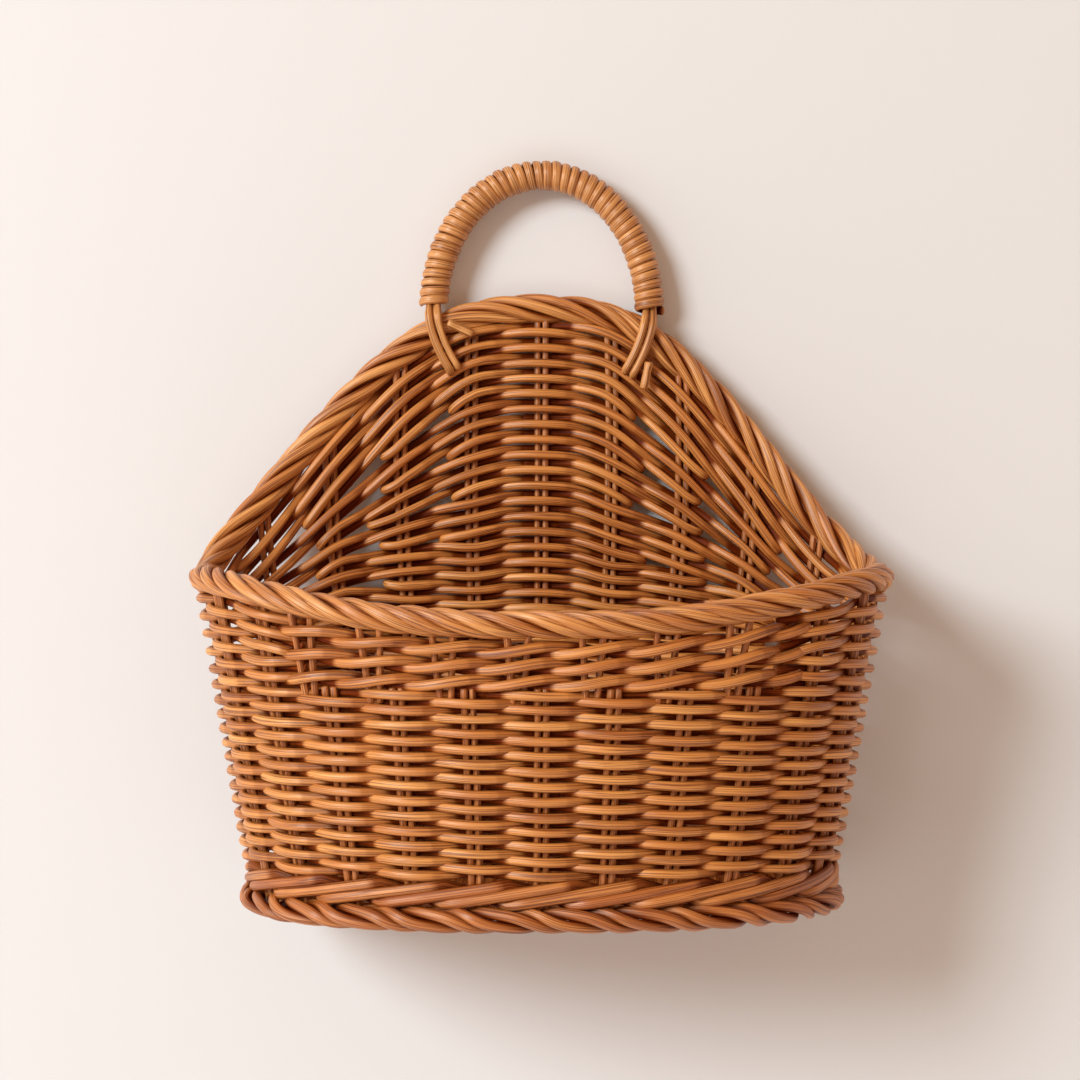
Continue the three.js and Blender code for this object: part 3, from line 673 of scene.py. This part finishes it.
# Siding
def add_row_ring(rods, row, z):
    """One course of siding. It is made of a few rods whose ends lie inside, behind a stake pair."""
    start = float(rods.random.integers(0, 12) * 2 + (row + 1) % 2)
    lengths = list(RING_ROD_PAIRS)
    rods.random.shuffle(lengths)
    for length in lengths:
        pair = places(start - START_OVERLAP, start + length + END_OVERLAP)
        tail = np.clip((pair - (start + length - END_OVERLAP)) / TUCK_SPAN, 0, 1)
        level = z + rods.wander(len(pair), ROW_STRIDE, ROW_DRIFT)
        path = woven(pair, level, row) - outward(pair, level) * (tail * END_TUCK)[:, None]
        rods.add(path, ROW_ROD, bare=unshaded_side(pair, path))
        start += length


def add_siding():
    pitch = (SIDING_TOP - WALE_TOP) / SIDING_ROWS
    for band in range(SIDING_BANDS):
        rods = Rods(200 + band)
        for row in range(band * ROWS_PER_BAND, (band + 1) * ROWS_PER_BAND):
            add_row_ring(rods, row, WALE_TOP + pitch * (row + 0.5))
        rods.make(f"siding_weave_{band + 1}", row_cane, "weaving_rods", f"siding_rows_{band + 1}")


# Bottom wale: three rods, each in front of two stake pairs and behind the third
def wale_rod(rods, phase, level):
    """A rod that is inside at every third stake pair, where it drops, and rises over the two between."""
    pair = places(3 * phase, 3 * phase + STAKE_PAIRS + END_OVERLAP)
    step = (phase - pair) % 3
    front = smooth(np.clip((np.minimum(step, 3 - step) - WALE_INSIDE) / WALE_CROSSING, 0, 1))
    tilt = WALE_TILT * np.clip(1.5 - step, -1, 1) * front
    out = (WALE_REACH - WALE_ROD / 2) * (2 * front - 1) + tilt
    rise = np.where(step < 0.5, -2 * step, np.where(step > 2.5, 2 * (3 - step), step - 1.5))
    drift = rods.wander(len(pair), WALE_STRIDE, WALE_DRIFT)
    path = place(pair, level + WALE_RISE * rise + drift, out)
    rods.add(path, WALE_ROD, sides=FINE_SIDES, bare=unshaded_side(pair, path))


def add_bottom_wale():
    rods = Rods(300)
    level = (WALE_TOP + FOOT_HEIGHT - WALE_IN_FOOT) / 2
    for phase in range(3):
        wale_rod(rods, phase, level)
    rods.make("bottom_wale_weave", shaded_foot_cane, "wale_rods", "bottom_wale")


# Top wale: pairing, two rods that turn about each other, one outside and one inside at each stake pair
def pairing_rod(rods, phase, share):
    """A rod of the pairing at a share of the way up from the siding to the border."""
    start = FRONT_SPAN_PAIR - END_OVERLAP
    end = STAKE_PAIRS - start
    pair = places(start, end)
    part = np.pi * (pair - phase - BORDER_STAKE_SHIFT)
    level = SIDING_TOP + (border_underside(pair) + PAIRING_IN_BORDER - SIDING_TOP) * share
    level = level - PAIRING_LIFT * np.sin(part) + rods.wander(len(pair), WALE_STRIDE, WALE_DRIFT)
    path = place(pair, level, (WALE_REACH - PAIRING_ROD / 2) * np.cos(part))
    path = tucked(path, pair, start, end, TUCK_SPAN)
    rods.add(path, PAIRING_ROD, sides=FINE_SIDES, bare=unshaded_side(pair, path))


def add_top_wale():
    rods = Rods(310)
    for row in range(PAIRING_ROWS):
        for phase in range(2):
            pairing_rod(rods, phase, (row + 0.5) / PAIRING_ROWS)
    rods.make("top_wale_weave", wale_cane, "wale_rods", "top_wale")


# Back
def couple_ends(side):
    """The stake pair at which each couple turns back, the lowest couple first."""
    going_on = list(reversed(range(COUPLES)))
    ends = {}
    for stake, turning in TURN_BACKS[side].items():
        ends.update({going_on[index]: stake for index in turning})
        going_on = [couple for couple in going_on if couple not in ends]
    return ends


COUPLE_ENDS = {side: couple_ends(side) for side in (-1, 1)}


def back_row_end(row, side):
    """The stake pair, counted from the middle, as far as which a back row goes."""
    if row < SIDE_ROWS or row >= BACK_SIDING_ROWS:
        return SIDE_STAKES
    return COUPLE_ENDS[side][(row - SIDE_ROWS) // 2]


def row_room(station):
    """1 for a row that goes on at a station, 0 for one that has turned back, and a little in between."""
    side = 1 if station > 0 else -1
    beyond = np.array([abs(station) - back_row_end(row, side) for row in range(BACK_ROWS)])
    return np.where(beyond <= 0, 1, np.where(beyond < 1, TURNED_ROOM, 0))


# Two stations at each stake pair of the back
STATIONS = np.arange(-2 * SIDE_STAKES, 2 * SIDE_STAKES + 1) / 2


def row_shares():
    """Height of each back row at each station, as a share of the way up from the siding to the border.
    Rows that have turned back before take no room, and the steeper a row is the more room it takes."""
    present = np.array([row_room(station) for station in STATIONS])
    height = border_underside(STATIONS)[:, None] + BORDER_OVERLAP - SIDING_TOP
    room = present
    for _ in range(SHARE_ROUNDS):
        shares = (np.cumsum(room, axis=1) - room / 2) / room.sum(axis=1, keepdims=True)
        steep = np.gradient(shares * height, axis=0) / (PAIR_SPACING / 2)
        room = 0.5 * room + 0.5 * present * np.hypot(1, np.clip(steep, -STEEPEST, STEEPEST))
    return shares


ROW_SHARES = row_shares()


def back_level(pair, row):
    """Height of a back row: a smooth curve through its places at the stations."""
    at = np.clip((np.asarray(pair) + SIDE_STAKES) * 2, 1, len(STATIONS) - 2.001)
    low = at.astype(int)
    share = at - low
    before, here, after, beyond = (ROW_SHARES[low + step, row] for step in (-1, 0, 1, 2))
    bend = 2 * before - 5 * here + 4 * after - beyond
    turn = -before + 3 * here - 3 * after + beyond
    height = here + 0.5 * (share * (after - before) + share**2 * bend + share**3 * turn)
    return SIDING_TOP + (border_underside(pair) + BORDER_OVERLAP - SIDING_TOP) * height


def back_run(pair, row):
    return woven(pair, back_level(pair, row), row + SIDING_ROWS)


def add_whole_row(rods, row):
    """A back row that goes as far as the pairing in front, with its ends behind it."""
    end = FRONT_SPAN_PAIR + BACK_ROW_OVERLAP
    pair = places(-end, end)
    path = tucked(back_run(pair, row), pair, -end, end, BACK_TUCK_SPAN)
    rods.add(path, ROW_ROD, bare=unshaded_side(pair, path))


def turn_places(stake, side, reach):
    """Places of a rod that goes beyond a stake pair and comes back to it, and its turn at each of them."""
    turn = np.linspace(0, np.pi, TURN_STEPS + 1)[1:-1]
    return stake + side * reach * np.sin(turn), turn


def turn_round(stake, first, second, side, reach):
    """The rod of one row goes round a stake pair, a little beyond it, and comes back as another row."""
    pair, turn = turn_places(stake, side, reach)
    share = (1 - np.cos(turn)) / 2
    level = back_level(pair, first) * (1 - share) + back_level(pair, second) * share
    sign = 1 if (stake + first + SIDING_ROWS) % 2 == 0 else -1
    return pair, place(pair, level, sign * ROW_SWAY * np.cos(turn))


def add_couple(rods, couple):
    """Two rows made of one rod, which turns back at both sides. Its ends meet behind the middle stakes."""
    row = SIDE_ROWS + 2 * couple
    left, right = -COUPLE_ENDS[-1][couple], COUPLE_ENDS[1][couple]
    reach_left, reach_right = rods.random.uniform(*TURN_REACH, 2)
    start = places(START_OVERLAP, left)[:-1]
    back = places(left, right)[1:-1]
    end = places(right, -START_OVERLAP)[1:]
    parts = [
        (start, back_run(start, row + 1)),
        turn_round(left, row + 1, row, -1, reach_left),
        (back, back_run(back, row)),
        turn_round(right, row, row + 1, 1, reach_right),
        (end, back_run(end, row + 1)),
    ]
    pair = np.concatenate([part[0] for part in parts])
    path = np.vstack([part[1] for part in parts])
    rods.add(path, ROW_ROD, bare=unshaded_side(pair, path))


def add_back():
    """The rows of the back in bands, from the siding up. The lowest band also has the rows that go on
    round the sides."""
    for band in range(BACK_BANDS):
        rods = Rods(400 + band)
        if band == 0:
            for row in range(SIDE_ROWS):
                add_whole_row(rods, row)
        low = max(0, round((COUPLES + 2) * band / BACK_BANDS) - 2)
        high = round((COUPLES + 2) * (band + 1) / BACK_BANDS) - 2
        for couple in range(low, high):
            add_couple(rods, couple)
        rods.make(f"back_weave_{band + 1}", row_cane, "weaving_rods", f"back_rows_{band + 1}")
    rods = Rods(420)
    for row in range(BACK_SIDING_ROWS, BACK_ROWS):
        add_whole_row(rods, row)
    rods.make("arch_weave", row_cane, "weaving_rods", "arch_rows_left", "arch_rows_middle", "arch_rows_right")


# Borders: groups of rods laid round a core like a rope
def add_lay(
    rods, pair, centre, room, rod, pitch, groups=BORDER_RODS, members=1, loose=BORDER_LOOSENESS, warp=0
):
    """Rods round a line of centres, in a room that has a depth and a height. The pitch is the length of a
    full turn, loose the drift of the turn in radians, and warp makes the turn uneven."""
    depth, height = room
    run = unit(np.gradient(centre, axis=0))
    normal = outward(pair, centre[:, 2])
    up = unit(np.cross(run, normal))
    length = path_lengths(centre)
    closeness = rod / (min(depth, height) - rod) * 2
    for group in range(groups):
        for member in range(members):
            angle = TURN * (length / pitch + group / groups) + rods.wander(len(pair), LAY_STRIDE, loose)
            angle = angle + warp * np.sin(2 * angle) + (member - (members - 1) / 2) * closeness
            reach = 1 - np.abs(rods.wander(len(pair), UNEVEN_STRIDE, LAY_SLACK))
            out = (depth - rod) / 2 * reach * np.cos(angle)
            rise = (height - rod) / 2 * reach * np.sin(angle)
            away = normal * np.cos(angle)[:, None] + up * np.sin(angle)[:, None]
            path = centre + normal * out[:, None] + up * rise[:, None]
            rods.add(path, rod, sides=SMOOTH_SIDES, uneven=LAY_UNEVEN, bare=away)


def add_arch_border():
    rods = Rods(500)
    pair = places(-ARCH_END_PAIR, ARCH_END_PAIR, BORDER_STEPS)
    room = (ARCH_BORDER_DEPTH, ARCH_BORDER_HEIGHT)
    add_lay(rods, pair, arch_path(pair), room, ARCH_LAY_ROD, ARCH_LAY_PITCH)
    rods.add(arch_path(pair), ARCH_CORE, tint=0)
    rods.make("arch_border_lay", border_cane, "border_rods", "arch_border")


def add_front_border():
    rods = Rods(510)
    pair = places(ARCH_END_PAIR, STAKE_PAIRS - ARCH_END_PAIR, BORDER_STEPS)
    room = (FRONT_BORDER_DEPTH, FRONT_BORDER_HEIGHT)
    add_lay(rods, pair, front_path(pair), room, FRONT_LAY_ROD, FRONT_LAY_PITCH)
    rods.add(front_path(pair), FRONT_CORE, tint=0)
    rods.make("front_border_lay", border_cane, "border_rods", "front_border")


def add_foot_border():
    rods = Rods(520)
    pair = places(-FOOT_OVERLAP, STAKE_PAIRS + FOOT_OVERLAP, BORDER_STEPS)
    room = (FOOT_OUTER + FOOT_INNER, FOOT_HEIGHT)
    add_lay(rods, pair, foot_path(pair), room, FOOT_LAY_ROD, FOOT_LAY_PITCH, 2, 2, FOOT_LOOSENESS, FOOT_WARP)
    rods.make("foot_border_lay", shaded_foot_cane, "border_rods", "foot_border")


# Base: sticks from side to side, and rods woven across them
def base_outline():
    pair = np.arange(0, STAKE_PAIRS, 0.05)
    return place(pair, 0, np.full(len(pair), -BASE_EDGE))[:, :2]


def base_span(outline, position, axis):
    """The two ends of a straight line across the base, at a position on the other axis."""
    other = 1 - axis
    crossings = []
    for a, b in zip(outline, np.roll(outline, -1, axis=0)):
        if (a[other] - position) * (b[other] - position) < 0:
            share = (position - a[other]) / (b[other] - a[other])
            crossings.append(a[axis] + share * (b[axis] - a[axis]))
    return (min(crossings), max(crossings)) if crossings else None


def add_base_sticks(outline, sticks):
    steps = 30
    for index, y in enumerate(sticks):
        rods = Rods(600 + index)
        low, high = base_span(outline, y, 0)
        x = np.linspace(low, high, steps)
        path = np.stack([x, np.full(steps, y), np.full(steps, BASE_MIDDLE)], axis=-1)
        rods.add(path, BASE_STICK, sides=FINE_SIDES)
        rods.make(f"base_stick_rod_{index + 1}", base_cane, "base_rods", f"base_stick_{index + 1}")


def add_base_weave(outline, sticks, pitch):
    """Rods from the wall side to the front, over one stick and under the next."""
    steps = 48
    rods = Rods(620)
    spacing = ROW_ROD + BASE_ROD_GAP
    count = int(2 * BASE_HALF_WIDTH / spacing)
    for index in range(count):
        x = (index - (count - 1) / 2) * spacing
        span = base_span(outline, x, 1)
        if span is None or span[1] - span[0] < pitch:
            continue
        y = np.linspace(*span, steps)
        wave = np.cos(np.pi * (y - sticks[0]) / pitch) * (-1) ** index
        rods.add(np.stack([np.full(steps, x), y, BASE_MIDDLE + wave * BASE_WAVE], axis=-1), ROW_ROD)
    rods.make("base_weave", base_cane, "base_rods", "base_panel")


def add_base():
    outline = base_outline()
    centre_y = -(WALL_GAP + BASE_DEPTH) / 2
    pitch = (BASE_DEPTH - WALL_GAP) / (BASE_STICKS + 1)
    sticks = [centre_y + (index - (BASE_STICKS - 1) / 2) * pitch for index in range(BASE_STICKS)]
    add_base_sticks(outline, sticks)
    add_base_weave(outline, sticks, pitch)


# Handle: a hoop of rods bound with cane, whose legs pass through the weave and come up behind
def place_at_x(x, height_at):
    """The place of the weave, on the side of x, at which it is as far out as x."""
    grid = np.arange(0, 6, 0.01) * np.sign(x)
    found = np.nonzero(np.abs(surface(grid, height_at(grid))[:, 0]) >= abs(x))[0]
    return grid[found[0]]


def leg_turn_height(pair):
    return border_underside(pair) - LEG_DEPTH


def hoop_point(angle):
    return np.stack([-HANDLE_HALF_WIDTH * np.cos(angle), HANDLE_FOOT + HANDLE_RISE * np.sin(angle)], axis=-1)


def leg_line(side):
    """A leg of the handle, seen from in front, from where it goes through the weave up to the hoop's foot."""
    turn = leg_turn_height(place_at_x(side * LEG_END_X, leg_turn_height)) + LEG_ROD / 2 + BORDER_GAP * 3
    share = np.linspace(0, LEG_SPAN, LEG_STEPS)
    x = LEG_END_X + (HANDLE_HALF_WIDTH - LEG_END_X) * (1 - (1 - share) ** LEG_CURVE)
    return np.stack([side * x, turn + (HANDLE_FOOT - turn) * share], axis=-1)


def leg_turn(front, back):
    """The way of a leg's rod through the weave, between its end in front and its end behind."""
    part = np.linspace(0, 1, LEG_TURN_STEPS + 1)[1:-1, None]
    points = front * (1 - part) + back * part
    points[:, 2] -= LEG_DIP * np.sin(np.pi * part[:, 0])
    return points


def add_handle_rods():
    """Each rod goes round the hoop in front, through the weave at both feet and up behind to the top."""
    line = np.vstack([leg_line(-1), hoop_point(np.linspace(0, np.pi, HOOP_STEPS)), leg_line(1)[::-1]])
    run = unit(np.gradient(line, axis=0))
    normal = np.stack([-run[:, 1], run[:, 0]], axis=-1)
    start = HANDLE_FOOT + np.where(line[:, 0] < 0, LEFT_FOOT_BARE, 0)
    share = smooth(np.clip((start - line[:, 1]) / (ARCH_BORDER_HEIGHT / 2), 0, 1))
    tight = (HANDLE_ROD + HANDLE_ROD_GAP) / 2
    leg_front = -WALL_GAP - ARCH_BORDER_DEPTH / 2 - LEG_CLEARANCE - LEG_ROD / 2
    leg_back = -LEG_ROD / 2
    front_y = -WALL_GAP - tight + (leg_front + WALL_GAP + tight) * share
    back_y = -WALL_GAP + tight + (leg_back + WALL_GAP - tight) * share
    width = HANDLE_ROD + (LEG_ROD - HANDLE_ROD) * share
    top = len(line) // 2
    for name, side in (("inner", -1), ("outer", 1)):
        rods = Rods(700 + side)
        flat = line + normal * (side * (tight + (LEG_SPREAD / 2 - tight) * share))[:, None]
        front = np.stack([flat[:, 0], front_y, flat[:, 1]], axis=-1)
        back = np.stack([flat[:, 0], back_y, flat[:, 1]], axis=-1)
        left_turn = leg_turn(front[0], back[0])[::-1]
        right_turn = leg_turn(front[-1], back[-1])
        left_width = np.full(len(left_turn), LEG_ROD)
        right_width = np.full(len(right_turn), LEG_ROD)
        path = np.vstack([back[:top][::-1], left_turn, front, right_turn, back[top + 1:][::-1]])
        widths = [width[:top][::-1], left_width, width, right_width, width[top + 1:][::-1]]
        rods.add(path, np.concatenate(widths), sides=FINE_SIDES)
        rods.make(f"handle_rod_{name}_bent", handle_cane, "handle_rods", f"handle_rod_{name}")


def add_binding():
    """One flat cane, wound round the hoop from its left foot to its right foot."""
    fine = np.linspace(0, np.pi, FINE_HOOP_STEPS + 1)
    lengths = path_lengths(hoop_point(fine))
    steps = BINDING_TURNS * BINDING_STEPS
    hoop_angle = np.interp(np.linspace(LEFT_FOOT_BARE, lengths[-1], steps + 1), lengths, fine)
    at = hoop_point(hoop_angle)
    run = unit(np.stack([HANDLE_HALF_WIDTH * np.sin(hoop_angle), HANDLE_RISE * np.cos(hoop_angle)], axis=-1))
    zero = np.zeros(len(run))
    along = np.stack([run[:, 0], zero, run[:, 1]], axis=-1)
    across = np.stack([-run[:, 1], zero, run[:, 0]], axis=-1)
    around = TURN * np.arange(steps + 1) / BINDING_STEPS
    radial = across * np.cos(around)[:, None] - np.array([0, 1, 0]) * np.sin(around)[:, None]
    rods = Rods(720)
    radius = BINDING_RADIUS + rods.wander(len(around), BINDING_STEPS, BINDING_SLACK)
    path = np.stack([at[:, 0], zero - WALL_GAP, at[:, 1]], axis=-1) + radial * radius[:, None]
    flat = BINDING_THICKNESS / BINDING_WIDTH
    rods.add(path, BINDING_WIDTH, across=along, flat=flat, sides=SMOOTH_SIDES, bare=radial)
    rods.make("handle_binding_cane", binding_cane, "binding_cane", "handle_binding")


def add_trimmed_ends():
    y = -WALL_GAP - ARCH_BORDER_DEPTH / 2 - TRIMMED_ROD / 2 - TRIMMED_GAP
    for name, ((x, z), (run_x, run_z)) in TRIMMED_ENDS.items():
        rods = Rods(740)
        along = np.linspace(0, TRIMMED_LENGTH, 8)[:, None]
        path = np.array([x, y, z]) + np.array([run_x, 0, run_z]) * along
        rods.add(path, TRIMMED_ROD, sides=FINE_SIDES, tint=TRIMMED_TINT)
        rods.make(f"trimmed_rod_{name}", handle_cane, "handle_rods", f"trimmed_end_{name}")


# Stage, in metres in the row frame
CAMERA_AT = (-0.0007, -1.2399, -0.1668)
LENS = 86.8
SENSOR_WIDTH = 36
LAMP_TARGET = (0, -0.07, -0.17)
WALL_COLOUR = (0.76, 0.765, 0.775, 1)
WALL_ROUGHNESS = 0.9
WALL_HALF_WIDTH = 2.5
WALL_TOP = 1.6
FLOOR_Z = -1.0
FLOOR_FRONT = -2.5
COVE_RADIUS = 0.15
COVE_STEPS = 8
KEY_LAMP = {"location": (-3.0, -3.25, 1.38), "size": 1.9, "power": 186, "colour": (0.88, 0.965, 1)}
SIDE_LAMP = {"location": (-1.6, -0.75, -0.1), "size": 1.0, "power": 4.2, "colour": (1, 0.95, 0.9)}
SKY_COLOUR = (1, 0.63, 0.4, 1)
SKY_STRENGTH = 0.53


def add_camera(scene):
    camera = bpy.data.objects.new("camera", bpy.data.cameras.new("camera"))
    camera.location = CAMERA_AT
    camera.rotation_euler = (math.pi / 2, 0, 0)
    camera.data.lens = LENS
    camera.data.sensor_width = SENSOR_WIDTH
    scene.collection.objects.link(camera)
    scene.camera = camera


def plaster_material():
    """A matt wall, which is clear from behind so that the basket can be looked at from there."""
    plaster = Shading("plaster")
    plaster.shader.inputs["Roughness"].default_value = WALL_ROUGHNESS
    plaster.shader.inputs["Base Color"].default_value = WALL_COLOUR
    clear = plaster.nodes.new("ShaderNodeBsdfTransparent")
    geometry = plaster.nodes.new("ShaderNodeNewGeometry")
    choose = plaster.nodes.new("ShaderNodeMixShader")
    plaster.links.new(geometry.outputs["Backfacing"], choose.inputs["Fac"])
    plaster.links.new(plaster.shader.outputs["BSDF"], choose.inputs[1])
    plaster.links.new(clear.outputs["BSDF"], choose.inputs[2])
    plaster.links.new(choose.outputs["Shader"], plaster.nodes["Material Output"].inputs["Surface"])
    return plaster.material


def add_backdrop(scene):
    """The wall, and a floor far below that goes over into it in a cove."""
    wall_y = WALL_GAP * METRES
    profile = [(FLOOR_FRONT, FLOOR_Z)]
    for step in range(COVE_STEPS + 1):
        angle = math.pi / 2 * step / COVE_STEPS
        y = wall_y - COVE_RADIUS + COVE_RADIUS * math.sin(angle)
        profile.append((y, FLOOR_Z + COVE_RADIUS - COVE_RADIUS * math.cos(angle)))
    profile.append((wall_y, WALL_TOP))
    points = [(x, y, z) for y, z in profile for x in (-WALL_HALF_WIDTH, WALL_HALF_WIDTH)]
    faces = [(2 * k, 2 * k + 1, 2 * k + 3, 2 * k + 2) for k in range(len(profile) - 1)]
    mesh = bpy.data.meshes.new("backdrop")
    mesh.from_pydata(points, [], faces)
    mesh.shade_smooth()
    mesh.materials.append(plaster_material())
    backdrop = bpy.data.objects.new("backdrop", mesh)
    scene.collection.objects.link(backdrop)


def add_lamp(scene, name, location, size, power, colour):
    """A round lamp that shines at the basket."""
    light = bpy.data.lights.new(name, "AREA")
    light.shape = "DISK"
    light.size = size
    light.energy = power
    light.color = colour
    lamp = bpy.data.objects.new(name, light)
    lamp.location = location
    direction = Vector(LAMP_TARGET) - Vector(location)
    lamp.rotation_euler = direction.to_track_quat("-Z", "Y").to_euler()
    scene.collection.objects.link(lamp)


def add_sky(scene):
    world = bpy.data.worlds.new("studio")
    scene.world = world
    world.use_nodes = True
    background = world.node_tree.nodes["Background"]
    background.inputs["Color"].default_value = SKY_COLOUR
    background.inputs["Strength"].default_value = SKY_STRENGTH


def add_stage():
    scene = bpy.context.scene
    add_camera(scene)
    add_backdrop(scene)
    add_lamp(scene, "key", **KEY_LAMP)
    add_lamp(scene, "side", **SIDE_LAMP)
    add_sky(scene)
    scene.view_settings.view_transform = "Standard"


add_stage()
add_stakes()
add_siding()
add_bottom_wale()
add_top_wale()
add_back()
add_arch_border()
add_front_border()
add_foot_border()
add_base()
add_handle_rods()
add_binding()
add_trimmed_ends()
